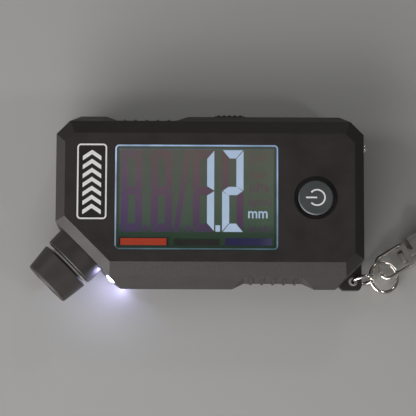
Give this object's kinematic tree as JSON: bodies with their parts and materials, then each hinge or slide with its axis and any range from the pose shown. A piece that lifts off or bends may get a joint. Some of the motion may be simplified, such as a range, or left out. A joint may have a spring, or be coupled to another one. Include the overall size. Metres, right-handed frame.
{
  "type": "tyre tread gauge",
  "caption": "Pocket tyre gauge with a digital display, sliding tread depth probe, swivelling valve chuck, lamp and swivel key clasp.",
  "frame": {"origin": "centre of the rear flat face", "axes": "+X to the end where the depth probe comes out, +Y to the thumb slider's side, +Z out of the display"},
  "size_m": [0.1274, 0.0515, 0.0203],
  "materials": {
    "case_plastic": "fine moulded grain",
    "badge_plastic": "satin with a pale printed border",
    "collar_plastic": "satin",
    "button_plastic": "satin with a pale printed symbol",
    "lens_clear": "clear, bevelled edge",
    "lcd_dark": "dark display with lit segments",
    "white_plastic": "plain",
    "rubber_black": "plain",
    "board_green": "solder mask",
    "chip_black": "moulded",
    "silicone": "translucent",
    "lamp_clear": "clear dome",
    "brass_plain": "turned",
    "polished_steel": "polished",
    "screw_steel": "zinc plated",
    "spring_steel": "plain",
    "cell_sleeve": "printed sleeve on a steel can",
    "chain_chrome": "polished plating"
  },
  "bodies": {
    "case": {"front_cover": "case_plastic", "rear_cover": "case_plastic", "badge_plate": "badge_plastic", "case_screws": "screw_steel", "display_lens": "lens_clear", "lcd_glass": "lcd_dark", "lcd_backlight": "white_plastic", "lcd_connector": "rubber_black", "circuit_board": "board_green", "controller_chip": "chip_black", "tact_switch": "chip_black", "pressure_sensor": "chip_black", "air_tube": "silicone", "lamp": "lamp_clear", "chuck_base": "collar_plastic", "chuck_nut": "brass_plain", "scale_strip": "board_green", "probe_bush": "brass_plain", "battery_cells": "cell_sleeve", "battery_contacts": "spring_steel", "battery_springs": "spring_steel"},
    "power_button": {"power_button": "button_plastic", "switch_plunger": "white_plastic"},
    "depth_slider": {"depth_probe": "polished_steel", "slide_carriage": "white_plastic", "thumb_slider": "case_plastic", "scale_reader": "board_green", "drag_spring": "spring_steel"},
    "chuck_head": {"chuck_head": "collar_plastic", "chuck_ring": "polished_steel", "valve_seal": "rubber_black", "core_depressor": "brass_plain"},
    "battery_door": {"battery_door": "case_plastic"},
    "link_small": {"link_small": "chain_chrome"},
    "link_large": {"link_large": "chain_chrome"},
    "swivel_bail": {"swivel_bail": "chain_chrome"},
    "clasp": {"swivel_stud": "chain_chrome", "clasp_hook": "chain_chrome", "gate_pin": "spring_steel"},
    "clasp_gate": {"clasp_gate": "chain_chrome"}
  },
  "joints": [
    {"name": "button_press", "type": "slide", "parent": "case", "child": "power_button", "axis": [0, 0, -1], "range_m": [0, 0.0005], "stiffness_N_per_m": 800, "springref_m": -0.0004},
    {"name": "depth_slide", "type": "slide", "parent": "case", "child": "depth_slider", "axis": [1, 0, 0], "range_m": [-0.0012, 0.0146]},
    {"name": "chuck_swivel", "type": "hinge", "parent": "case", "child": "chuck_head", "pos_m": [-0.03488, -0.01312, 0.01], "axis": [-0.7071, -0.7071, 0], "continuous": true},
    {"name": "door_slide", "type": "slide", "parent": "case", "child": "battery_door", "axis": [1, 0, 0], "range_m": [0, 0.005]},
    {"name": "lug_swing", "type": "hinge", "parent": "case", "child": "link_small", "pos_m": [0.0393, -0.02095, 0.0042], "axis": [0, 0, 1], "range_deg": [-90, 5]},
    {"name": "link_lift", "type": "hinge", "parent": "link_small", "child": "link_large", "pos_m": [0.04422, -0.02006, 0.0041], "axis": [0.1788, -0.9839, 0], "range_deg": [0, 40]},
    {"name": "bail_lift", "type": "hinge", "parent": "link_large", "child": "swivel_bail", "pos_m": [0.04682, -0.0174, 0.00123], "axis": [0.5, -0.866, 0], "range_deg": [0, 35]},
    {"name": "clasp_swivel", "type": "hinge", "parent": "swivel_bail", "child": "clasp", "pos_m": [0.05335, -0.01363, 0.00325], "axis": [0.866, 0.5, 0], "continuous": true},
    {"name": "gate_open", "type": "hinge", "parent": "clasp", "child": "clasp_gate", "pos_m": [0.06028, -0.00363, 0.00325], "axis": [0, 0, -1], "range_deg": [0, 20], "stiffness_Nm_per_rad": 0.01, "springref_deg": -17.19}
  ]
}
